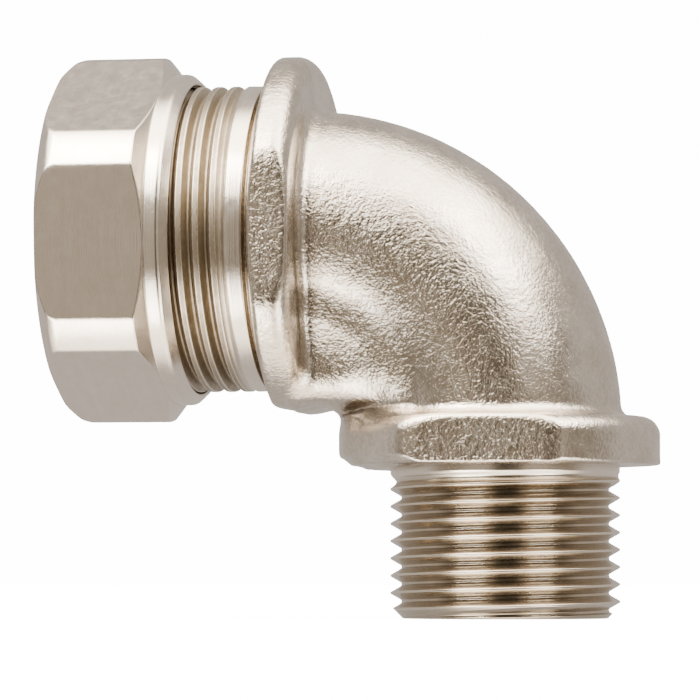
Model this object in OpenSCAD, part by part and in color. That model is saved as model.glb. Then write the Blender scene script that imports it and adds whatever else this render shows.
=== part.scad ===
// 90 degree compression fitting, nickel-plated brass, with an M20 x 1.5 entry thread
// and a compression nut for a round conduit or tube of 21 mm.
// The entry thread runs down the Z axis, its sealing face is at z = 0,
// and the nut's axis runs towards -X at the height axis_h.

/* [Entry thread] */
// Nominal diameter of the entry thread
entry_d = 20; // [19.8:0.1:20.2]
// Length from the sealing face to the thread's end
entry_len = 13.3; // [12:0.1:16]
// Length of the plain shank above the thread
shank_len = 0.8; // [0.6:0.1:1.2]
// Pitch of both screw threads
pitch = 1.5; // [1.4:0.05:1.6]

/* [Elbow] */
// Height of the nut's axis above the sealing face
axis_h = 20.05; // [19.8:0.05:21]
// Radius of the passage through the elbow
way_r = 7.6; // [6:0.1:7.8]
// Radius of the cast outside of the bend
cast_r = 10.7; // [10.3:0.1:10.9]
// How far the cast bend sits outside the passage's own line
cast_shift = 0.5; // [0:0.05:0.7]

/* [Entry flange] */
// Radius of the flange above the entry thread
entry_flange_r = 13.9; // [13.6:0.1:14.4]
// Thickness of that flange
entry_flange_t = 4.25; // [4:0.05:4.5]
// Distance between its two flats
entry_flats = 24.6; // [24:0.1:26]

/* [Nut flange] */
// Radius of the flange behind the compression thread
nut_flange_r = 16; // [15.5:0.1:16.3]
// Distance of its near face from the entry thread's axis
nut_flange_x = 16.4; // [16.2:0.1:16.6]
// Thickness of that flange
nut_flange_t = 3.95; // [3.8:0.05:4.1]
// Distance between its two flats
nut_flats = 29.5; // [29:0.1:30.5]
// Depth of its flat underside below the nut's axis
flange_drop = 15.1; // [14.9:0.1:15.3]

/* [Compression thread] */
// Radius over the thread's crests
spigot_r = 13.5; // [13.4:0.01:13.52]
// Distance of the spigot's mouth from the entry thread's axis
spigot_x = 31.6; // [31.4:0.1:31.8]
// Radius of the socket that the conduit enters
socket_r = 11; // [10.95:0.05:11.1]

/* [Nut] */
// Distance across the nut's flats
nut_af = 29.4; // [29.3:0.1:29.6]
// Radius that the nut's corners are turned to
nut_corner_r = 16.1; // [15.9:0.05:16.3]
// Distance of the nut's lip from the entry thread's axis
nut_lip_x = 27; // [26.9:0.05:27.1]
// Length of the nut
nut_len = 11.6; // [11.5:0.1:11.8]
// Radius of the hole that the conduit enters
nut_bore_r = 10.8; // [10.75:0.05:10.85]
// Turn of the nut from a flat that faces the front
nut_turn = -4.4; // [-30:0.1:30]

/* [Inner pieces] */
// Inner radius of the sealing ring
ring_bore_r = 10.6; // [10.55:0.05:10.65]
// Gap between the sealing ring and its seat before the nut is tightened
ring_gap = 1.75; // [1.7:0.05:1.8]
// Thickness of the thrust washer
washer_t = 0.7; // [0.6:0.05:0.8]
// Inner radius of the thrust washer
washer_bore_r = 11.4; // [11.3:0.05:11.6]
// Outer radius of the ferrule's flange
ferrule_r = 10.4; // [10.2:0.05:10.45]
// Length of the ferrule
ferrule_len = 9.6; // [8:0.1:10]

/* [Hidden] */
$fn = 96;

nickel_cast = [0.78, 0.75, 0.70];
nickel_turned = [0.74, 0.70, 0.64];
brass_bright = [0.80, 0.66, 0.38];
nylon = [0.88, 0.88, 0.84];

eps = 0.05;                                // overlap of joined shapes, and slack of loose ones
flank_angle = 30;                          // slope of both threads' flanks
segments = 48;                             // sides of a thread in one turn

// Entry thread
entry_r = entry_d / 2;
crest_r = entry_r - 0.02;                  // crests are a little under the nominal size
entry_v = 0.96;                            // depth of the thread's groove
entry_end_r = 8.9;                         // radius of the chamfered end
entry_turn = 34;                           // where round the axis the thread starts
way_chamfer = 0.5;

// Bend: the passage's centre line, and the cast outside around it
bend_r = 17.2;
bend_x = -bend_r;
bend_z = axis_h - bend_r;
cast_x = bend_x - cast_shift;
cast_z = bend_z + cast_shift;

// Flanges
entry_flange_x = -0.38;                    // the cast flange sits a little towards the nut
entry_round = 1.8;                         // rounding of its upper edge
entry_bevel_r = 13.4;                      // where the bevel, turned about the thread's axis, meets the face
fillet_r = cast_r - 0.1;                   // where a flange's fillet ends, just inside the bend
flange_fillet = 0.9;
nut_flange_end = nut_flange_x + nut_flange_t;
nut_flange_rim = nut_flange_end - 0.7;     // the far face slopes back from the spigot to the rim
nut_flange_round = 1.7;                    // rounding of its near edge
flange_base_z = axis_h - flange_drop;
web_y = 8;                                 // half the width of the web in the inner corner
web_reach = 10.5;                          // how far it goes into the bend, from the bend's centre
web_fillet = 1.2;
web_foot_x = -14;
web_foot_y = 3;                            // half the width of the web's foot at the entry flange

// Compression thread: a V groove in the spigot, and a V ridge in the nut that runs in it
relief_end = nut_flange_end + 1.7;
spigot_v = 0.75;
spigot_core_r = spigot_r - spigot_v - 0.35;
ridge_r = 13.6;                            // radius of the nut's wall between its ridges
ridge_v = 0.75;
spigot_turn = 89;                          // where round the axis the thread starts
mouth_r = 11.9;                            // radius of the ring's seat at the spigot's mouth
seat_len = 2.4;
mouth_step = 0.2;                          // shallow step just inside the spigot's mouth
seat_slope = (mouth_r - socket_r) / seat_len;
socket_x = nut_flange_end - 1.6;           // floor of the conduit socket

// Nut
nut_end_x = nut_lip_x + nut_len;
nut_wall = 1.8;
shoulder_x = nut_end_x - nut_wall;
chamber_r = 12.8;
collar_r = 14.62;
collar_len = 2.05;
nut_thread_len = 7;

// Ring and washer, from the nut's shoulder towards the spigot
washer_x = shoulder_x - eps - washer_t;
ring_back_x = washer_x;
ring_r = 12.35;
ring_nose_r = 11.05;
ring_cone_x = spigot_x + ring_gap + (ring_r - mouth_r) / seat_slope;
ring_nose_x = spigot_x + ring_gap - (mouth_r - ring_nose_r) / seat_slope;

// Ferrule
sleeve_r = 8.5;
sleeve_bore_r = 7.7;
ferrule_flange_t = 1.2;
rib_h = 0.35;
rib_pitch = 2;
ribs = 3;

function clamp(value, low, high) = min(max(value, low), high);

// Points of an arc in the plane, from the angle a to the angle b
function arc(centre, r, a, b, steps = 8) =
    [for (i = [0 : steps]) centre + r * [cos(a + (b - a) * i / steps), sin(a + (b - a) * i / steps)]];

// Depth of a V groove, from 0 on the land to 1 at its root, at the place u in one pitch
function groove(u, root, flank) = clamp((root + flank - abs(u - floor(u) - 0.5)) / flank, 0, 1);

// The solid that carries a helical V groove: a sleeve from z0 to z1 between back_r and the thread.
// The groove fades in over fade[0] from z0 and out over fade[1] before z1, and the
// surface is no further out than a 45 degree bevel that ends at end_r.
module thread_sleeve(land_r, depth, root, back_r, z0, z1, fade = [0, 0], end_r = 99) {
    flank = depth * tan(flank_angle) / pitch;
    rows_in_turn = [0.5 - root - flank, 0.5 - root, 0.5 + root, 0.5 + root + flank];
    first = floor(z0 / pitch) - 2;
    last = ceil(z1 / pitch) + 1;
    rows = 4 * (last - first + 1);
    function share(z) =
        (fade[0] > 0 ? clamp((z - z0) / fade[0], 0, 1) : 1)
        * (fade[1] > 0 ? clamp((z1 - z) / fade[1], 0, 1) : 1);
    function surface_r(z, a) =
        min(land_r - depth * share(z) * groove(z / pitch - a / 360, root, flank), end_r + z1 - z);
    function on_thread(i, j) =
        let (a = 360 * i / segments,
             z = clamp((first + floor(j / 4) + rows_in_turn[j % 4] + a / 360) * pitch, z0, z1),
             r = surface_r(z, a))
        [r * cos(a), r * sin(a), z];
    function on_back(i, z) = [back_r * cos(360 * i / segments), back_r * sin(360 * i / segments), z];
    // A vertex of the thread, where one turn on is four rows up
    function at(i, j) = i < segments ? i * rows + j : min(j + 4, rows - 1);
    back = segments * rows;
    function low(i) = back + i % segments;
    function high(i) = back + segments + i % segments;
    points = [
        for (i = [0 : segments - 1], j = [0 : rows - 1]) on_thread(i, j),
        for (i = [0 : segments - 1]) on_back(i, z0),
        for (i = [0 : segments - 1]) on_back(i, z1)
    ];
    quads = [
        for (i = [0 : segments - 1], j = [0 : rows - 2])
            [at(i, j), at(i, j + 1), at(i + 1, j + 1), at(i + 1, j)],
        for (i = [0 : segments - 1]) [low(i), low(i + 1), high(i + 1), high(i)],
        for (i = [0 : segments - 1]) [at(i, 0), at(i + 1, 0), low(i + 1), low(i)],
        for (i = [0 : segments - 1])
            [at(i + 1, rows - 1), at(i, rows - 1), high(i), high(i + 1)]
    ];
    triangles = [for (q = quads) each [[q[0], q[1], q[2]], [q[0], q[2], q[3]]]];
    // Past the sleeve's ends the rows meet in one point, and their empty triangles are left out
    solid_ones = [
        for (t = triangles)
            if (points[t[0]] != points[t[1]] && points[t[1]] != points[t[2]] && points[t[2]] != points[t[0]]) t
    ];
    inside_out = back_r > land_r;
    polyhedron(points, [for (t = solid_ones) inside_out ? [t[2], t[1], t[0]] : t]);
}

// Stands its children on the nut's axis, so that their +Z runs out towards -X
module along_nut() {
    translate([0, 0, axis_h])
        rotate([0, -90, 0])
            children();
}

// A turned shape from its outline, each point a radius and a distance
module turned(outline) {
    rotate_extrude()
        polygon(outline);
}

// A plain tube from z0 to z1
module tube(r, bore, z0, z1) {
    translate([0, 0, z0])
        difference() {
            cylinder(r = r, h = z1 - z0);
            translate([0, 0, -1])
                cylinder(r = bore, h = z1 - z0 + 2);
        }
}

module quarter_bend(x, z, centre_r, r) {
    translate([x, 0, z])
        rotate([90, 0, 0])
            rotate_extrude(angle = 90)
                translate([centre_r, 0])
                    circle(r = r);
}

module cast_bend() {
    quarter_bend(cast_x, cast_z, bend_r, cast_r);
    translate([cast_x + bend_r, 0, eps])
        cylinder(r = cast_r, h = cast_z - eps);
    translate([cast_x, 0, cast_z + bend_r])
        rotate([0, -90, 0])
            cylinder(r = cast_r, h = nut_flange_end + cast_x);
}

module entry_flange() {
    r = entry_flange_r;
    t = entry_flange_t;
    intersection() {
        translate([entry_flange_x, 0, 0])
            turned(concat(
                [[0, 0], [r, 0]],
                arc([r - entry_round, t - entry_round], entry_round, 0, 90, 6),
                [[0, t]]
            ));
        cylinder(r1 = entry_bevel_r, r2 = entry_bevel_r + t, h = t);
        translate([-2 * r, -entry_flats / 2, -1])
            cube([4 * r, entry_flats, t + 2]);
    }
    // Fillet up to the cast bend
    translate([cast_x + bend_r, 0, t])
        turned(concat(
            [[0, -eps], [fillet_r + flange_fillet, -eps]],
            arc([fillet_r + flange_fillet, flange_fillet], flange_fillet, 270, 180, 5),
            [[0, flange_fillet]]
        ));
}

module nut_flange() {
    r = nut_flange_r;
    near = nut_flange_x;
    far = nut_flange_end;
    edge = nut_flange_round;
    along_nut()
        intersection() {
            turned(concat(
                [[0, near]],
                arc([r - edge, near + edge], edge, 270, 360, 5),
                [[r, nut_flange_rim - 0.3], [r - 0.3, nut_flange_rim], [spigot_r, far], [0, far]]
            ));
            translate([-flange_drop, -nut_flats / 2, 0])
                cube([2 * r + flange_drop, nut_flats, far + 1]);
        }
    // Fillet down to the cast bend
    translate([0, 0, cast_z + bend_r])
        rotate([0, -90, 0])
            turned(concat(
                [[0, near + eps], [fillet_r + flange_fillet, near + eps]],
                arc([fillet_r + flange_fillet, near - flange_fillet], flange_fillet, 90, 180, 5),
                [[0, near - flange_fillet]]
            ));
}

// The web that fills the inner corner between the two flanges
module web() {
    left = -nut_flange_x - 1;
    intersection() {
        translate([0, web_y, 0])
            rotate([90, 0, 0])
                linear_extrude(2 * web_y)
                    polygon(concat(
                        [[left, flange_base_z]],
                        arc([web_foot_x - web_fillet, flange_base_z - web_fillet], web_fillet, 90, 0),
                        [[web_foot_x, 1], [-1, 1], [-1, axis_h], [left, axis_h]]
                    ));
        translate([cast_x, web_y + 1, cast_z])
            rotate([90, 0, 0])
                cylinder(r = web_reach, h = 2 * web_y + 2);
        union() {
            along_nut()
                cylinder(r = nut_flange_r, h = nut_flange_rim);
            translate([entry_flange_x, 0, 0])
                cylinder(r = entry_flange_r, h = entry_flange_t);
            translate([2 * left, -web_foot_y, 0])
                cube([-2 * left, 2 * web_foot_y, axis_h]);
        }
    }
}

// Everything that is taken out of the casting: the passage, the socket and the ring's seat
module passage() {
    quarter_bend(bend_x, bend_z, bend_r, way_r);
    translate([0, 0, -entry_len - 1])
        cylinder(r = way_r, h = bend_z + entry_len + 1);
    translate([0, 0, -entry_len - eps])
        cylinder(r1 = way_r + way_chamfer + eps, r2 = way_r, h = way_chamfer + eps);
    along_nut() {
        translate([0, 0, -bend_x])
            cylinder(r = way_r, h = socket_x + bend_x + 1);
        translate([0, 0, socket_x])
            cylinder(r = socket_r, h = spigot_x - socket_x + 1);
        translate([0, 0, spigot_x - seat_len])
            cylinder(r1 = socket_r, r2 = mouth_r + seat_slope, h = seat_len + 1);
    }
}

// One casting: entry thread, flanges, bend and spigot
module elbow_body() {
    color(nickel_cast) {
        difference() {
            union() {
                cast_bend();
                entry_flange();
                nut_flange();
                web();
                translate([0, 0, -shank_len])
                    cylinder(r = entry_r, h = shank_len + 1);
                translate([0, 0, -entry_len])
                    cylinder(r = entry_end_r - 0.15, h = entry_len);
                along_nut() {
                    translate([0, 0, nut_flange_end - 1])
                        cylinder(r = spigot_r, h = relief_end - nut_flange_end + 1);
                    translate([0, 0, relief_end - 1])
                        cylinder(r = spigot_core_r, h = spigot_x - relief_end + 1 - mouth_step);
                }
            }
            passage();
        }
        rotate([180, 0, 0])
            rotate([0, 0, entry_turn])
                thread_sleeve(crest_r, entry_v, 0.08, entry_end_r - 0.5,
                    shank_len - 0.2, entry_len, [pitch, 0], entry_end_r);
        along_nut()
            rotate([0, 0, spigot_turn])
                thread_sleeve(spigot_r - 0.02, spigot_v, 0.017, spigot_core_r - 0.25,
                    relief_end - 0.2, spigot_x, [pitch, 0], spigot_r - 0.65);
    }
}

// The nut is cut from hexagon bar, with its corners turned down and a round collar at its lip
module compression_nut() {
    collar_x = nut_lip_x + collar_len;
    thread_x = nut_lip_x + nut_thread_len;
    color(nickel_turned)
        along_nut()
            rotate([0, 0, nut_turn]) {
                difference() {
                    union() {
                        intersection() {
                            cylinder(r = nut_af / 2 / cos(30), h = nut_end_x, $fn = 6);
                            turned([
                                [0, collar_x], [nut_af / 2, collar_x],
                                [nut_corner_r, collar_x + 0.9], [nut_corner_r, nut_end_x - 1.6],
                                [nut_corner_r - 0.2, nut_end_x - 0.9], [nut_corner_r - 1.1, nut_end_x],
                                [0, nut_end_x]
                            ]);
                        }
                        turned([
                            [0, nut_lip_x], [collar_r - 0.85, nut_lip_x], [collar_r, nut_lip_x + 0.75],
                            [collar_r, collar_x - 0.3], [collar_r - 0.3, collar_x + 0.2], [0, collar_x + 0.2]
                        ]);
                    }
                    turned([
                        [0, nut_lip_x - 1], [ridge_r + 1.2, nut_lip_x - 1], [ridge_r + 0.1, nut_lip_x + 0.1],
                        [ridge_r + 0.1, thread_x], [chamber_r, thread_x], [chamber_r, shoulder_x],
                        [0, shoulder_x]
                    ]);
                    translate([0, 0, shoulder_x - 1])
                        cylinder(r = nut_bore_r, h = nut_wall + 2);
                    translate([0, 0, nut_end_x - 0.4])
                        cylinder(r1 = nut_bore_r, r2 = nut_bore_r + 0.5, h = 0.5);
                }
                rotate([0, 0, spigot_turn - nut_turn])
                    thread_sleeve(ridge_r, ridge_v, 0.013, ridge_r + 0.35,
                        nut_lip_x + 0.35, thread_x + 0.2, [0.6, 0.6]);
            }
}

// A flat washer that lets the nut turn without dragging the ring
module thrust_washer() {
    color(brass_bright)
        along_nut()
            tube(chamber_r - 0.15, washer_bore_r, washer_x, washer_x + washer_t);
}

// A bevelled nylon ring that is driven into the spigot's mouth
module sealing_ring() {
    color(nylon)
        along_nut()
            turned([
                [ring_bore_r, ring_nose_x], [ring_nose_r, ring_nose_x], [ring_r, ring_cone_x],
                [ring_r, ring_back_x - 0.3], [ring_r - 0.3, ring_back_x], [ring_bore_r, ring_back_x]
            ]);
}

// The insert that holds the end of the conduit: a flange and a sleeve with grip ribs
module conduit_ferrule() {
    seat = socket_x + eps;
    end = seat + ferrule_len;
    first_rib = seat + ferrule_flange_t + 1.2;
    color(brass_bright)
        along_nut()
            turned(concat(
                [[sleeve_bore_r, seat], [ferrule_r - 0.3, seat], [ferrule_r, seat + 0.3],
                 [ferrule_r, seat + ferrule_flange_t], [sleeve_r, seat + ferrule_flange_t]],
                [for (i = [0 : ribs - 1], step = [[0, 0], [rib_h, 0.3], [rib_h, 0.5], [0, 1.5]])
                    [sleeve_r + step[0], first_rib + i * rib_pitch + step[1]]],
                [[sleeve_r, end - 0.5], [sleeve_r - 0.4, end], [sleeve_bore_r, end]]
            ));
}

elbow_body();
compression_nut();
thrust_washer();
sealing_ring();
conduit_ferrule();
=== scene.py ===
import math

import bpy
import numpy as np
import openvdb
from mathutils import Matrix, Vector


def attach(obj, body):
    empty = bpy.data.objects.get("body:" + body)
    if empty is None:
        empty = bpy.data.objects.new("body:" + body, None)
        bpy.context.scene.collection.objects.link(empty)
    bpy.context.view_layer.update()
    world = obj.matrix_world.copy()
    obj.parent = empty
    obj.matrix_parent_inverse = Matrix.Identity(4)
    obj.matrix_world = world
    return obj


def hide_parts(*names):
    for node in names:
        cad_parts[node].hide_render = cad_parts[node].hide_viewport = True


# A 90 degree compression fitting in nickel-plated brass. Sizes are in millimetres, in the CAD
# frame: the entry thread's axis is Z, its seat is at z = 0, and the nut's axis runs out along -X.
# A distance out along the nut's axis is called s, so s = -x.

MM = 0.001
PITCH = 1.5
AXIS_Z = 20.05
FLANK = math.tan(math.radians(30))

# Entry thread
ENTRY_CREST_R = 9.99
ENTRY_END_R = 8.9
ENTRY_LENGTH = 13.3
ENTRY_DEPTH = 0.96
ENTRY_ROOT = 0.08
ENTRY_TURN = 34
ENTRY_SOFT = (0.035, 0.12)
SHANK_LENGTH = 0.8

# Bend, with the centre of its outside at CAST_X, CAST_Z
BEND_R = 17.2
CAST_X = -17.7
CAST_Z = 3.35
CAST_R = 10.7
CAST_FOOT_Z = 0.6
CAST_END_X = -19
WAY_R = 7.6
WALL_GAP = 0.05

# Flanges, each a disc with two flats
ENTRY_FLANGE_X = -0.38
ENTRY_FLANGE_R = 13.9
ENTRY_FLANGE_T = 4.25
ENTRY_FLATS = 12.3
ENTRY_BEVEL_R = 13.4
NUT_FLANGE_R = 16
NUT_FLANGE_S = 16.4
NUT_FLANGE_END = 20.35
NUT_FLATS = 14.75
NUT_FACE_SLOPE = 0.32
FLANGE_BASE_Z = AXIS_Z - 15.1
FLANGE_ROUND = 1.7
FLAT_ROUND = 0.4

# Web, the filling of the inner corner between the flanges
WEB_FACE_X = -13.9
WEB_END_X = -17.6
WEB_FOOT_Z = 1
WEB_REACH = 10.1
WEB_CORNER = 1.6
WEB_HALF_Y = 8
WEB_RIB_Y = 3

# Fillets between the bend and what meets it
WEB_FILLET = 3.2
ENTRY_FILLET = 1.0
NUT_FILLET = 1.2

# Cast skin: how deep it lies, and the wavelength and height of its waves
SKIN_DEPTH = 0.03
SKIN_WAVES = ((0.5, 0.009), (1.1, 0.01), (4.5, 0.02))

# Spigot, with a compression thread, and the socket in it
SPIGOT_R = 13.48
SPIGOT_END = 31.6
SPIGOT_DEPTH = 0.75
SPIGOT_ROOT = 0.07
SPIGOT_TURN = 89
SPIGOT_SOFT = (0.08, 0.1)
NECK_R = SPIGOT_R - 0.6
NECK_END = 20.55
RELIEF_END = 22.05
SOCKET_S = 18.75
SOCKET_R = 11
MOUTH_R = 11.9
MOUTH_STEP_R = 12.15
MOUTH_STEP_S = SPIGOT_END - 0.2

# Nut
NUT_LIP = 27
NUT_END = 38.6
NUT_FLAT_R = 14.7
NUT_CORNER_R = 16.1
NUT_TURN = -4.4
COLLAR_R = 14.62
COLLAR_END = 29.05
CONE_END = 29.95
RIDGE_R = 13.6
RIDGE_ROOT = 0.013
RIDGE_SOFT = (0.05, 0.05)
RIDGE_END = NUT_LIP + 7
SHOULDER = 36.8
CHAMBER_R = 12.8
NUT_BORE_R = 10.8

# Washer, ring and ferrule inside the nut
WASHER_BORE_R = 11.4
WASHER_R = 12.65
WASHER_START = 36.1
WASHER_END = 36.78
RING_BORE_R = 10.6
RING_R = 12.35
RING_TIP = 31.09
RING_BEVEL_END = 34.55
RING_END = 36.09
RIB_DEPTH = 0.08
FERRULE_BORE_R = 7.7
FERRULE_SLEEVE_R = 8.5
FERRULE_RIB_R = 8.85
FERRULE_FLANGE_R = 10.4

# Mesh steps, and the number of steps round a turned piece
GRID = 0.2
FINE_STEP = 0.045
NUT_STEP = 0.07
PLAIN_STEP = 0.12
THREAD_TURNS = 600
NUT_TURNS = 1080
PLAIN_TURNS = 360


# --- Shapes from distances --------------------------------------------------------------------

def meet(a, b, radius):
    """Where both distances are inside, with the edge between them rounded."""
    inner = np.minimum(np.maximum(a + radius, b + radius), 0)
    return inner + np.hypot(np.maximum(a + radius, 0), np.maximum(b + radius, 0)) - radius


def join(a, b, radius):
    """Where either distance is inside, with a fillet between them."""
    return -meet(-a, -b, radius)


def soft_min(a, b, k):
    """The smaller value, with a smooth change of about k where they are close."""
    h = np.clip(0.5 + 0.5 * (b - a) / k, 0, 1)
    return b + (a - b) * h - k * h * (1 - h)


def soft_max(a, b, k):
    return -soft_min(-a, -b, k)


def fade(value, start, length):
    """0 up to the start, then rising to 1 over the length."""
    return np.clip((value - start) / length, 0, 1)


def bent_tube(x, y, z, centre_x, centre_z, r):
    """A tube that runs up, through a quarter bend, and out along -X."""
    across = np.hypot(np.maximum(x - centre_x, 0), np.maximum(z - centre_z, 0)) - BEND_R
    return np.hypot(across, y) - r


def entry_flange(x, y, z):
    r = np.hypot(x - ENTRY_FLANGE_X, y) - ENTRY_FLANGE_R
    disc = meet(r, z - ENTRY_FLANGE_T, FLANGE_ROUND)
    disc = meet(disc, np.abs(y) - ENTRY_FLATS, 0.5)
    bevel = (np.hypot(x, y) - ENTRY_BEVEL_R - z) / math.sqrt(2)
    return meet(meet(disc, bevel, 0.1), -z, 0.1)


def nut_flange(x, y, z):
    s = -x
    r = np.hypot(y, z - AXIS_Z)
    disc = meet(r - NUT_FLANGE_R, NUT_FLANGE_S - s, FLANGE_ROUND)
    far = s - NUT_FLANGE_END + NUT_FACE_SLOPE * (r - SPIGOT_R)
    disc = meet(disc, far / math.hypot(1, NUT_FACE_SLOPE), FLAT_ROUND)
    disc = np.maximum(disc, s - NUT_FLANGE_END)
    disc = meet(disc, np.abs(y) - NUT_FLATS, FLAT_ROUND)
    return meet(disc, FLANGE_BASE_Z - z, 0.5)


def web(x, y, z):
    """The filling of the inner corner between the two flanges."""
    corner = join(FLANGE_BASE_Z - z, WEB_FACE_X - x, WEB_CORNER)
    inside_bend = np.hypot(x - CAST_X, z - CAST_Z) - WEB_REACH
    ends = np.maximum(np.maximum(WEB_END_X - x, WEB_FOOT_Z - z), inside_bend)
    under_nut = np.hypot(y, z - AXIS_Z) - NUT_FLANGE_R
    over_entry = np.maximum(np.hypot(x - ENTRY_FLANGE_X, y) - ENTRY_FLANGE_R, z - ENTRY_FLANGE_T)
    sides = join(np.minimum(under_nut, over_entry), np.abs(y) - WEB_RIB_Y, 1.5)
    sides = meet(sides, np.abs(y) - WEB_HALF_Y, WEB_CORNER)
    return meet(np.maximum(corner, ends), sides, 0.8)


def cast_outside(x, y, z):
    tube = bent_tube(x, y, z, CAST_X, CAST_Z, CAST_R)
    tube = np.maximum(tube, np.maximum(CAST_FOOT_Z - z, CAST_END_X - x))
    body = join(tube, web(x, y, z), WEB_FILLET)
    body = join(body, entry_flange(x, y, z), ENTRY_FILLET)
    return join(body, nut_flange(x, y, z), NUT_FILLET)


def cast_inside(x, y, z):
    """The passage and the socket, a little clear of the turned walls in them."""
    way = bent_tube(x, y, z, -BEND_R, AXIS_Z - BEND_R, WAY_R + WALL_GAP)
    socket = np.maximum(np.hypot(y, z - AXIS_Z) - SOCKET_R - WALL_GAP, SOCKET_S + x)
    return np.minimum(way, socket)


def casting_distance(x, y, z):
    return np.maximum(cast_outside(x, y, z), -cast_inside(x, y, z))


def lattice(seed, size=32):
    return np.random.default_rng(seed).random((size, size, size), dtype=np.float32)


def grain(p, wavelength, seed):
    """Smooth random values from -1 to 1 at the points p."""
    values = lattice(seed)
    q = p / wavelength
    cell = np.floor(q).astype(int)
    t = q - cell
    t = t * t * (3 - 2 * t)
    total = np.zeros(len(p))
    for corner in np.ndindex(2, 2, 2):
        i, j, k = ((cell + corner) % len(values)).T
        share = np.prod(np.where(corner, t, 1 - t), axis=1)
        total += share * values[i, j, k]
    return 2 * total - 1


def slope_of(distance, p, step=0.02):
    """The unit directions in which the distance grows at the points p."""
    columns = []
    for axis in range(3):
        ahead = p.copy()
        behind = p.copy()
        ahead[:, axis] += step
        behind[:, axis] -= step
        columns.append(distance(*ahead.T) - distance(*behind.T))
    g = np.stack(columns, 1)
    return g / np.maximum(np.linalg.norm(g, axis=1), 1e-9)[:, None]


def make_mesh(name, points, quads, smooth=True):
    """A mesh object from points in millimetres."""
    data = bpy.data.meshes.new(name)
    data.vertices.add(len(points))
    data.vertices.foreach_set("co", (points * MM).astype(np.float32).ravel())
    data.loops.add(quads.size)
    data.loops.foreach_set("vertex_index", quads.astype(np.int32).ravel())
    data.polygons.add(len(quads))
    data.polygons.foreach_set("loop_start", np.arange(0, quads.size, 4, dtype=np.int32))
    data.polygons.foreach_set("use_smooth", np.full(len(quads), smooth))
    data.update(calc_edges=True)
    data.validate()
    piece = bpy.data.objects.new(name, data)
    bpy.context.scene.collection.objects.link(piece)
    return piece


def outward(points, quads):
    """The quads, turned so that they enclose a positive volume."""
    a, b, c, d = (points[quads[:, k]] for k in range(4))
    volume = np.einsum("ij,ij->", a, np.cross(b, c)) + np.einsum("ij,ij->", a, np.cross(c, d))
    return quads if volume > 0 else quads[:, ::-1]


def casting():
    """The cast body's mesh: a grid of distances, its zero surface, then the cast skin."""
    low = np.array([-20.8, -15.4, -0.6])
    high = np.array([14.2, 15.4, 36.8])
    axes = [np.arange(low[k], high[k], GRID, dtype=np.float32) for k in range(3)]
    x, y, z = np.meshgrid(*axes, indexing="ij", sparse=True)
    field = openvdb.FloatGrid()
    field.copyFromArray(np.ascontiguousarray(casting_distance(x, y, z), dtype=np.float32))
    points, quads = field.convertToQuads(isovalue=0.0)
    points = np.asarray(points, dtype=float) * GRID + low
    for _ in range(3):
        points -= casting_distance(*points.T)[:, None] * slope_of(casting_distance, points)
    outer = cast_outside(*points.T) > -0.05
    skin = sum(height * grain(points, wave, seed) for seed, (wave, height) in enumerate(SKIN_WAVES, 1))
    above_seat = fade(points[:, 2], 0, 0.5)
    short_of_spigot = fade(points[:, 0], 0.45 - NUT_FLANGE_END, 0.4)
    rise = (skin - SKIN_DEPTH) * above_seat * short_of_spigot * outer
    points += rise[:, None] * slope_of(casting_distance, points)
    quads = np.asarray(quads)
    return make_mesh("casting", points, outward(points, quads))


# --- Turned shapes ----------------------------------------------------------------------------

def outline(corners, step):
    """Closely spaced points round a closed outline of (radius, distance, rounding)."""
    knots = []
    for k, (r, s, rounding) in enumerate(corners):
        here = np.array([r, s], dtype=float)
        before = np.array(corners[k - 1][:2], dtype=float) - here
        after = np.array(corners[(k + 1) % len(corners)][:2], dtype=float) - here
        cut = [min(rounding / np.linalg.norm(leg), 0.49) for leg in (before, after)]
        if rounding == 0:
            knots.append(here)
            continue
        first = here + before * cut[0]
        last = here + after * cut[1]
        for t in np.linspace(0, 1, 7):
            knots.append((1 - t) ** 2 * first + 2 * t * (1 - t) * here + t ** 2 * last)
    rows = []
    for k, start in enumerate(knots):
        end = knots[(k + 1) % len(knots)]
        pieces = max(1, math.ceil(np.linalg.norm(end - start) / step))
        rows += [start + (end - start) * i / pieces for i in range(pieces)]
    return np.array(rows)


def on_nut_axis(r, s, angle):
    return np.stack([-s, r * np.sin(angle), AXIS_Z + r * np.cos(angle)], -1)


def on_entry_axis(r, s, angle):
    return np.stack([r * np.cos(angle), -r * np.sin(angle), -s], -1)


def lathe(name, rows, place, shape=None, turns=PLAIN_TURNS):
    """A closed turned mesh. The shape function can change each point's radius."""
    angle = np.linspace(0, 2 * math.pi, turns, endpoint=False)[None, :]
    r = np.repeat(rows[:, :1], turns, 1)
    s = np.repeat(rows[:, 1:], turns, 1)
    if shape is not None:
        r = shape(r, s, angle)
    points = place(r, s, angle + 0 * r).reshape(-1, 3)
    i, j = np.meshgrid(np.arange(len(rows)), np.arange(turns), indexing="ij")
    up = (i + 1) % len(rows)
    on = (j + 1) % turns
    quads = np.stack([i * turns + j, i * turns + on, up * turns + on, up * turns + j], -1).reshape(-1, 4)
    return make_mesh(name, points, outward(points, quads))


def groove_depth(s, angle, depth, root, turn, soft):
    """How far the helical V groove has gone in at the place s and the angle. The root is half of
    its flat, in pitches, and soft says how rounded the crest and the root are."""
    u = s / PITCH - (angle - math.radians(turn)) / (2 * math.pi)
    off = np.abs(u - np.floor(u) - 0.5) * PITCH
    v = (root * PITCH + depth * FLANK - off) / FLANK
    return soft_min(soft_max(v, 0, soft[0]), depth, soft[1])


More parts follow.
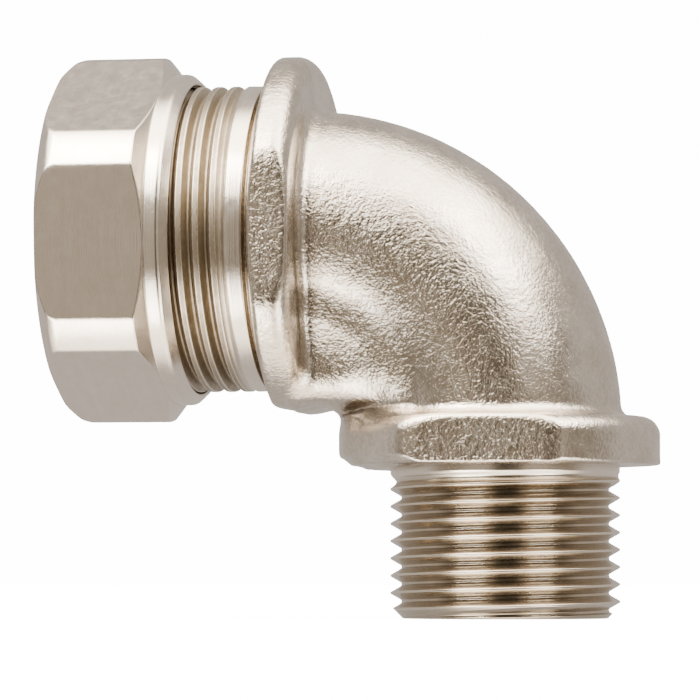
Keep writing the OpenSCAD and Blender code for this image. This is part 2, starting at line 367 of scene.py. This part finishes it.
def entry_thread():
    rows = outline([
        (WAY_R, -2, 0), (ENTRY_CREST_R + 0.01, -2, 0), (ENTRY_CREST_R + 0.01, SHANK_LENGTH, 0),
        (ENTRY_CREST_R, ENTRY_LENGTH - 1.1, 0), (ENTRY_END_R, ENTRY_LENGTH, 0.08),
        (WAY_R + 0.5, ENTRY_LENGTH, 0.08), (WAY_R, ENTRY_LENGTH - 0.5, 0.1)
    ], FINE_STEP)

    def threaded(r, s, angle):
        cut = groove_depth(s, angle, ENTRY_DEPTH, ENTRY_ROOT, ENTRY_TURN, ENTRY_SOFT)
        share = fade(s, SHANK_LENGTH - 0.2, PITCH)
        wall = ENTRY_CREST_R - cut * share
        outer = (r > ENTRY_END_R - 0.2) & (s > 0)
        return np.where(outer, np.minimum(r, wall), r)

    return lathe("entry_thread", rows, on_entry_axis, threaded, THREAD_TURNS)


def spigot():
    rows = outline([
        (SOCKET_R, SOCKET_S, 0), (NECK_R, SOCKET_S, 0), (NECK_R, NECK_END, 0.1),
        (SPIGOT_R - 0.05, NECK_END + 0.2, 0.1), (SPIGOT_R, RELIEF_END, 0),
        (SPIGOT_R, SPIGOT_END - 0.65, 0.1), (SPIGOT_R - 0.6, SPIGOT_END, 0.08),
        (MOUTH_STEP_R, SPIGOT_END, 0.05), (MOUTH_STEP_R, MOUTH_STEP_S, 0.05),
        (MOUTH_R - 0.07, MOUTH_STEP_S, 0.05), (SOCKET_R, SPIGOT_END - 2.4, 0.3)
    ], FINE_STEP)

    def threaded(r, s, angle):
        cut = groove_depth(s, angle, SPIGOT_DEPTH, SPIGOT_ROOT, SPIGOT_TURN, SPIGOT_SOFT)
        share = fade(s, RELIEF_END - 0.2, PITCH)
        wall = SPIGOT_R + 0.02 - cut * share
        outer = (r > MOUTH_STEP_R + 0.15) & (s > NECK_END + 0.45)
        return np.where(outer, soft_min(r, wall, 0.05), r)

    return lathe("spigot", rows, on_nut_axis, threaded, THREAD_TURNS)


def nut():
    rows = outline([
        (COLLAR_R, NUT_LIP + 0.8, 0.25), (COLLAR_R, COLLAR_END, 0.1), (NUT_FLAT_R, COLLAR_END, 0),
        (NUT_CORNER_R, CONE_END, 0.12), (NUT_CORNER_R, NUT_END - 1.6, 0.3),
        (NUT_CORNER_R - 0.2, NUT_END - 0.9, 0.3), (NUT_CORNER_R - 1.1, NUT_END, 0.25),
        (NUT_BORE_R + 0.5, NUT_END, 0.1), (NUT_BORE_R, NUT_END - 0.5, 0.1), (NUT_BORE_R, SHOULDER, 0.1),
        (CHAMBER_R, SHOULDER, 0.2), (CHAMBER_R, RIDGE_END, 0.1), (RIDGE_R, RIDGE_END, 0.1),
        (RIDGE_R, NUT_LIP + 0.15, 0.1), (RIDGE_R + 0.25, NUT_LIP, 0.1)
    ], NUT_STEP)

    def milled(r, s, angle):
        turn = np.degrees(angle) - NUT_TURN
        flat = NUT_FLAT_R / np.cos(np.radians(turn % 60 - 30))
        ridge = groove_depth(s, angle, SPIGOT_DEPTH, RIDGE_ROOT, SPIGOT_TURN, RIDGE_SOFT)
        share = fade(s, NUT_LIP + 0.35, 0.6) * fade(-s, -RIDGE_END - 0.2, 0.6)
        inner = (np.abs(r - RIDGE_R) < 0.02) & (s < RIDGE_END + 0.1)
        r = np.where(inner, r - ridge * share, r)
        outer = (r > CHAMBER_R + 1.2) & (s > COLLAR_END - 0.05)
        return np.where(outer, soft_min(r, flat, 0.14), r)

    return lathe("nut", rows, on_nut_axis, milled, NUT_TURNS)


def washer():
    rows = outline([
        (WASHER_BORE_R, WASHER_START, 0.08), (WASHER_R, WASHER_START, 0.08),
        (WASHER_R, WASHER_END, 0.08), (WASHER_BORE_R, WASHER_END, 0.08)
    ], 0.1)
    return lathe("washer", rows, on_nut_axis)


def ring():
    rows = outline([
        (RING_BORE_R, RING_TIP, 0.1), (RING_BORE_R + 0.45, RING_TIP, 0.15), (RING_R, RING_BEVEL_END, 0.15),
        (RING_R, RING_END, 0.2), (RING_BORE_R, RING_END, 0.15)
    ], PLAIN_STEP)

    def ribbed(r, s, angle):
        rib = RIB_DEPTH * (0.5 - 0.5 * np.cos(2 * math.pi * s))
        return np.where(r < RING_BORE_R + 0.1, r + rib, r)

    return lathe("ring", rows, on_nut_axis, ribbed)


def ferrule():
    seat = SOCKET_S + 0.01
    flange_end = seat + 1.2
    sleeve_end = seat + 9.6
    corners = [
        (FERRULE_BORE_R, seat, 0.1), (FERRULE_FLANGE_R, seat, 0.25),
        (FERRULE_FLANGE_R, flange_end, 0.1), (FERRULE_SLEEVE_R, flange_end, 0.15)
    ]
    for k in range(3):
        rib = seat + 2.4 + 2 * k
        corners += [
            (FERRULE_SLEEVE_R, rib, 0.1), (FERRULE_RIB_R, rib + 0.3, 0.08),
            (FERRULE_RIB_R, rib + 0.5, 0.08), (FERRULE_SLEEVE_R, rib + 1.5, 0.1)
        ]
    corners += [
        (FERRULE_SLEEVE_R, sleeve_end - 0.5, 0.1), (FERRULE_SLEEVE_R - 0.4, sleeve_end, 0.1),
        (FERRULE_BORE_R, sleeve_end, 0.1)
    ]
    return lathe("ferrule", outline(corners, PLAIN_STEP), on_nut_axis)


# --- Materials --------------------------------------------------------------------------------
#
# Noise scales are cells a metre, and bump distances are metres. Places are object coordinates.

SATIN_DARK = (0.76, 0.685, 0.595)
SATIN_LIGHT = (0.80, 0.735, 0.65)

# How each thread is marked: where it starts and ends in millimetres, its turn in degrees, where the
# crest's edge is and how wide its painted highlight looks in pitches, its tone's colour and the change of
# roughness.
SPIGOT_THREAD = {
    "start": RELIEF_END + 0.15, "end": SPIGOT_END + 0.6, "turn": SPIGOT_TURN,
    "edge": SPIGOT_ROOT + SPIGOT_DEPTH * FLANK / PITCH, "width": 0.05,
    "tone": (0.27, 0.225, 0.165), "matt": 0.2
}
ENTRY_THREAD = {
    "start": SHANK_LENGTH + 0.1, "end": ENTRY_LENGTH + 0.7, "turn": ENTRY_TURN,
    "edge": 0.5, "width": 0.07,
    "tone": (0.52, 0.455, 0.37), "matt": -0.02
}


class Nodes:
    """Short names for the few shader nodes that the materials need."""

    def __init__(self, owner, shader="Principled BSDF"):
        owner.use_nodes = True
        self.owner = owner
        self.tree = owner.node_tree
        self.shader = self.tree.nodes[shader]

    def node(self, kind, inputs=None, **settings):
        made = self.tree.nodes.new(kind)
        for key, value in settings.items():
            setattr(made, key, value)
        for key, value in (inputs or {}).items():
            if isinstance(value, bpy.types.NodeSocket):
                self.tree.links.new(value, made.inputs[key])
            else:
                made.inputs[key].default_value = value
        return made

    def math(self, operation, a, b=0.0):
        return self.node("ShaderNodeMath", {0: a, 1: b}, operation=operation).outputs[0]

    def dot(self, a, b):
        return self.node("ShaderNodeVectorMath", {0: a, 1: b}, operation="DOT_PRODUCT").outputs["Value"]

    def noise(self, vector, scale, detail=2.0, rough=0.5):
        inputs = {"Vector": vector, "Scale": scale, "Detail": detail, "Roughness": rough}
        return self.node("ShaderNodeTexNoise", inputs).outputs["Fac"]

    def remap(self, value, low, high, to_low, to_high):
        inputs = {"Value": value, "From Min": low, "From Max": high, "To Min": to_low, "To Max": to_high}
        return self.node("ShaderNodeMapRange", inputs).outputs["Result"]

    def tint(self, value, dark, light):
        ends = [end if isinstance(end, bpy.types.NodeSocket) else (*end, 1) for end in (dark, light)]
        return self.node("ShaderNodeMix", {0: value, 6: ends[0], 7: ends[1]}, data_type="RGBA").outputs[2]

    def bump(self, height, distance, strength, normal=None):
        inputs = {"Height": height, "Distance": distance, "Strength": strength}
        if normal is not None:
            inputs["Normal"] = normal
        return self.node("ShaderNodeBump", inputs).outputs["Normal"]

    def finish(self, **sockets):
        for key, value in sockets.items():
            name = key.replace("_", " ")
            if isinstance(value, bpy.types.NodeSocket):
                self.tree.links.new(value, self.shader.inputs[name])
            else:
                self.shader.inputs[name].default_value = value
        return self.owner


def new_material(name):
    return Nodes(bpy.data.materials.new(name))


def object_place(n):
    return n.node("ShaderNodeTexCoord").outputs["Object"]


def parts_of(n, vector):
    return n.node("ShaderNodeSeparateXYZ", {"Vector": vector}).outputs


def painted_corner_shade(n, reach):
    """Painted shade: 0 on open surfaces, up to 1 deep in a corner."""
    open_share = n.node("ShaderNodeAmbientOcclusion", {"Distance": reach}, samples=6).outputs["AO"]
    return n.remap(open_share, 0.75, 0.3, 0, 1)


def cast_nickel():
    """Cast skin: grainy, and rougher on the flats that face along Y, which also carry a painted dark
    reflection.
    """
    n = new_material("cast_nickel")
    at = object_place(n)
    tone = n.noise(at, 260, 3, 0.6)
    fine = n.noise(at, 5600, 2, 0.6)
    coarse = n.noise(at, 2900, 2, 0.5)
    normal = n.node("ShaderNodeTexCoord").outputs["Normal"]
    flat = n.remap(n.math("ABSOLUTE", parts_of(n, normal)["Y"]), 0.90, 0.99, 0, 1)
    harsh = n.remap(flat, 0, 1, 0.45, 0.8)
    tone_and_painted_shade = n.math("ADD", n.math("MULTIPLY", tone, 0.6), n.math("MULTIPLY", coarse, 0.4))
    # Painted dark reflection: the flats that face along Y are darkened.
    tone_and_painted_shade = n.math("SUBTRACT", tone_and_painted_shade, n.math("MULTIPLY", flat, 0.12))
    colour = n.tint(n.remap(tone_and_painted_shade, 0.32, 0.68, 0, 1), (0.52, 0.455, 0.375), (0.74, 0.68, 0.605))
    # Painted shade: brown darkening in the corners.
    colour = n.tint(n.math("MULTIPLY", painted_corner_shade(n, 0.0022), 0.75), colour, (0.27, 0.215, 0.15))
    rough = n.remap(n.noise(at, 900, 2), 0.3, 0.7, 0.17, 0.27)
    low = n.bump(coarse, 0.00009, harsh)
    high = n.bump(fine, 0.00006, harsh, low)
    return n.finish(Base_Color=colour, Metallic=1.0, Roughness=rough, Normal=high)


def painted_crest_highlights(n, along, across, y, thread):
    """Painted highlight: 1 on the helical lines where the thread's flanks meet its crest."""
    angle = n.math("SUBTRACT", n.math("ARCTAN2", y, across), math.radians(thread["turn"]))
    pitches = n.math("MULTIPLY", along, -1 / (PITCH * MM))
    u = n.math("SUBTRACT", pitches, n.math("DIVIDE", angle, 2 * math.pi))
    off = n.math("ABSOLUTE", n.math("SUBTRACT", n.math("FRACT", u), 0.5))
    away = n.math("ABSOLUTE", n.math("SUBTRACT", off, thread["edge"]))
    return n.remap(away, thread["width"] / 2, thread["width"], 1, 0)


def thread_marks(n, along, across, y, worn, thread):
    """1 where the thread is, and how much of its darker, browner tone it takes there: less on the crest's
    edges, which carry a painted highlight.
    """
    start = -thread["start"] * MM
    end = -thread["end"] * MM
    begun = n.remap(along, start, start - 0.6 * MM, 0, 1)
    inside = n.math("MULTIPLY", begun, n.remap(along, end, end + 0.6 * MM, 0, 1))
    bright = painted_crest_highlights(n, along, across, y, thread)
    tone_less_painted_highlight = n.math("MULTIPLY", inside, n.remap(worn, 0.2, 0.6, 0.8, 1.0))
    # Painted highlight: the thread's tone is lifted on the crest's edge lines.
    tone_less_painted_highlight = n.math("MULTIPLY", tone_less_painted_highlight, n.math("SUBTRACT", 1, n.math("MULTIPLY", bright, 0.7)))
    return inside, tone_less_painted_highlight


def turned_nickel(name, axis, lines, strength, thread=None):
    """Satin turned nickel. The tool's lines run round the axis, which is X or Z."""
    n = new_material(name)
    at = object_place(n)
    parts = parts_of(n, at)
    if axis == "X":
        along = parts["X"]
        across = n.math("SUBTRACT", parts["Z"], AXIS_Z * MM)
        y = parts["Y"]
    else:
        along = parts["Z"]
        across = parts["X"]
        y = n.math("MULTIPLY", parts["Y"], -1)
    squares = n.math("ADD", n.math("MULTIPLY", y, y), n.math("MULTIPLY", across, across))
    radius = n.math("SQRT", squares)
    streak = n.node("ShaderNodeCombineXYZ", {"X": along, "Y": radius, "Z": 0.0}).outputs["Vector"]
    tool = n.noise(streak, lines, 3, 0.7)
    band = n.noise(streak, lines / 7, 2, 0.5)
    worn = n.noise(at, 900, 3, 0.6)
    specks = n.noise(at, 5200, 2, 0.6)
    colour = n.tint(n.remap(n.math("ADD", worn, band), 0.7, 1.3, 0, 1), SATIN_DARK, SATIN_LIGHT)
    rough = n.remap(n.math("ADD", tool, worn), 0.7, 1.3, 0.16, 0.26)
    if thread is not None:
        inside, tone_less_painted_highlight = thread_marks(n, along, across, y, worn, thread)
        # The thread's darker, browner tone, less on the painted highlight lines.
        colour = n.tint(tone_less_painted_highlight, colour, thread["tone"])
        rough = n.math("ADD", rough, n.math("MULTIPLY", tone_less_painted_highlight, thread["matt"]))
        strength = n.remap(inside, 0, 1, strength, 0.03)
    # Painted shade: brown darkening in the corners.
    colour = n.tint(n.math("MULTIPLY", painted_corner_shade(n, 0.0012), 0.4), colour, (0.25, 0.20, 0.13))
    cut = n.bump(tool, 0.00003, strength)
    skin = n.bump(specks, 0.00002, 0.2, cut)
    return n.finish(Base_Color=colour, Metallic=1.0, Roughness=rough, Normal=skin)


def bright_brass():
    n = new_material("bright_brass")
    at = object_place(n)
    along = parts_of(n, at)["X"]
    streak = n.node("ShaderNodeCombineXYZ", {"X": along, "Y": 0.0, "Z": 0.0}).outputs["Vector"]
    tool = n.noise(streak, 7000, 3, 0.6)
    tarnish = n.noise(at, 350, 3, 0.6)
    colour = n.tint(n.remap(tarnish, 0.3, 0.7, 0, 1), (0.60, 0.42, 0.17), (0.84, 0.66, 0.33))
    rough = n.remap(tarnish, 0.3, 0.7, 0.34, 0.2)
    return n.finish(Base_Color=colour, Metallic=1.0, Roughness=rough, Normal=n.bump(tool, 0.00004, 0.5))


def nylon():
    n = new_material("nylon")
    at = object_place(n)
    mottle = n.noise(at, 300, 3, 0.6)
    fine = n.noise(at, 2400, 2)
    colour = n.tint(n.remap(mottle, 0.3, 0.7, 0, 1), (0.70, 0.69, 0.62), (0.84, 0.83, 0.77))
    rough = n.remap(fine, 0.3, 0.7, 0.42, 0.55)
    return n.finish(
        Base_Color=colour, Roughness=rough, Subsurface_Weight=0.15, Subsurface_Scale=0.0008,
        Normal=n.bump(fine, 0.00004, 0.3)
    )


def floor_white():
    n = new_material("floor_white")
    at = object_place(n)
    soft = n.noise(at, 3, 2)
    colour = n.tint(soft, (0.86, 0.86, 0.86), (0.9, 0.9, 0.9))
    return n.finish(Base_Color=colour, Roughness=0.9, Emission_Color=(1, 1, 1, 1), Emission_Strength=14.0)


# --- Studio -----------------------------------------------------------------------------------

CAMERA_PLACE = (58.473, -392.6, -9.632)
CAMERA_LOOK = (-0.18368, 0.98150, 0.05408)
CAMERA_RIGHT = (0.983, 0.184, 0)
FLOOR_SIZE = 1500
DOME_RADIUS = 4


def turn_towards(made, direction):
    made.rotation_mode = "QUATERNION"
    made.rotation_quaternion = direction.to_track_quat("-Z", "Y")


def camera():
    data = bpy.data.cameras.new("camera")
    made = bpy.data.objects.new("camera", data)
    bpy.context.scene.collection.objects.link(made)
    made.location = Vector(CAMERA_PLACE) * MM
    turn_towards(made, Vector(CAMERA_LOOK))
    data.sensor_width = 36
    data.lens = 234.33
    data.shift_x = 0.0205
    data.shift_y = -0.0292
    data.clip_start = 0.02
    data.clip_end = 20
    bpy.context.scene.camera = made


def floor():
    """A pale floor just under the entry thread's end, which doesn't light the object."""
    corners = ((-1, -1), (1, -1), (1, 1), (-1, 1))
    under = -ENTRY_LENGTH - 0.02
    points = np.array([[x * FLOOR_SIZE, y * FLOOR_SIZE, under] for x, y in corners])
    made = make_mesh("floor", points, np.array([[0, 1, 2, 3]]), smooth=False)
    made.data.materials.append(floor_white())
    made.visible_glossy = False
    made.visible_diffuse = False


def backdrop():
    """A white dome, which only the camera sees."""
    bpy.ops.mesh.primitive_uv_sphere_add(segments=64, ring_count=32, radius=DOME_RADIUS)
    made = bpy.context.object
    made.name = "backdrop"
    made.data.materials.append(new_material("backdrop").finish(
        Base_Color=(0, 0, 0, 1), Specular_IOR_Level=0, Emission_Color=(1, 1, 1, 1), Emission_Strength=15
    ))
    for share in ("glossy", "diffuse", "transmission", "shadow"):
        setattr(made, "visible_" + share, False)


def surroundings():
    """A soft room: bright above, dimmer below, warm grey sides and a dark strip behind the camera."""
    world = bpy.data.worlds.new("studio")
    bpy.context.scene.world = world
    n = Nodes(world, "Background")
    towards = n.node("ShaderNodeTexCoord").outputs["Generated"]
    facing = n.dot(towards, tuple(-part for part in CAMERA_LOOK))
    up = parts_of(n, towards)["Z"]
    height = n.math("ABSOLUTE", up)
    aside = n.math("ABSOLUTE", n.dot(towards, CAMERA_RIGHT))
    near = n.tint(n.remap(aside, 0.55, 0.80, 0, 1), (0.60, 0.515, 0.42), (0.34, 0.29, 0.23))
    sides = n.tint(n.remap(facing, 0.05, 0.35, 0, 1), (0.74, 0.68, 0.63), near)
    behind = n.math("ADD", facing, n.math("MULTIPLY", up, 0.12))
    lit = n.math("MULTIPLY", n.remap(height, 0.60, 0.82, 0, 1), n.remap(behind, -0.3, 0.05, 0, 1))
    lit = n.math("MULTIPLY", lit, n.remap(up, -0.2, 0.2, 0.4, 1))
    room = n.tint(lit, sides, (10.0, 9.0, 7.7))
    strip = n.math("MULTIPLY", n.remap(aside, 0.30, 0.20, 0, 1), n.remap(facing, 0.3, 0.6, 0, 1))
    strip = n.math("MULTIPLY", strip, n.remap(height, 0.75, 0.55, 0, 1))
    n.finish(Color=n.tint(strip, room, (0.09, 0.075, 0.055)), Strength=1.0)


def softbox(name, place, size, power, towards=(-12, 0, 12)):
    """A square light, with its place in millimetres, its size in metres and its power in watts."""
    data = bpy.data.lights.new(name, "AREA")
    data.shape = "SQUARE"
    data.size = size
    data.energy = power
    data.color = (1, 0.95, 0.87)
    made = bpy.data.objects.new(name, data)
    bpy.context.scene.collection.objects.link(made)
    made.location = Vector(place) * MM
    turn_towards(made, Vector(towards) * MM - made.location)
    made.visible_camera = False


def lights():
    """Two softboxes on each side of the camera, one above and one below."""
    softbox("key_left", (-210, -290, 340), 0.26, 4)
    softbox("key_right", (330, -250, 380), 0.26, 2.5)
    softbox("fill_left", (-200, -290, -320), 0.24, 2)
    softbox("fill_right", (330, -250, -330), 0.24, 1.5)


# --- The object -------------------------------------------------------------------------------

def dress(piece, body, node, material):
    piece.data.materials.append(material)
    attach(piece, body)
    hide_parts(node)


def build():
    nickel = cast_nickel()
    nut_skin = turned_nickel("turned_nickel", "X", 9000, 0.35)
    spigot_skin = turned_nickel("spigot_nickel", "X", 7000, 1.0, SPIGOT_THREAD)
    entry_skin = turned_nickel("entry_nickel", "Z", 9000, 0.35, ENTRY_THREAD)
    brass = bright_brass()
    dress(casting(), "elbow", "elbow_body", nickel)
    dress(entry_thread(), "elbow", "elbow_body", entry_skin)
    dress(spigot(), "elbow", "elbow_body", spigot_skin)
    dress(nut(), "nut", "compression_nut", nut_skin)
    dress(washer(), "ring_pack", "thrust_washer", brass)
    dress(ring(), "ring_pack", "sealing_ring", nylon())
    dress(ferrule(), "ferrule", "conduit_ferrule", brass)


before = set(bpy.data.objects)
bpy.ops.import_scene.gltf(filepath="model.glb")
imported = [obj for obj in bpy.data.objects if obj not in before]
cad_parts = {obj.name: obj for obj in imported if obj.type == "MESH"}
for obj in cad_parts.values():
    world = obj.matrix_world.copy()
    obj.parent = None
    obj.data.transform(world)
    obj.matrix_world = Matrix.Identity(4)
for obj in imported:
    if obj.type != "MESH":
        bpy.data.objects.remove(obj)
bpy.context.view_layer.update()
build()
camera()
floor()
backdrop()
surroundings()
lights()
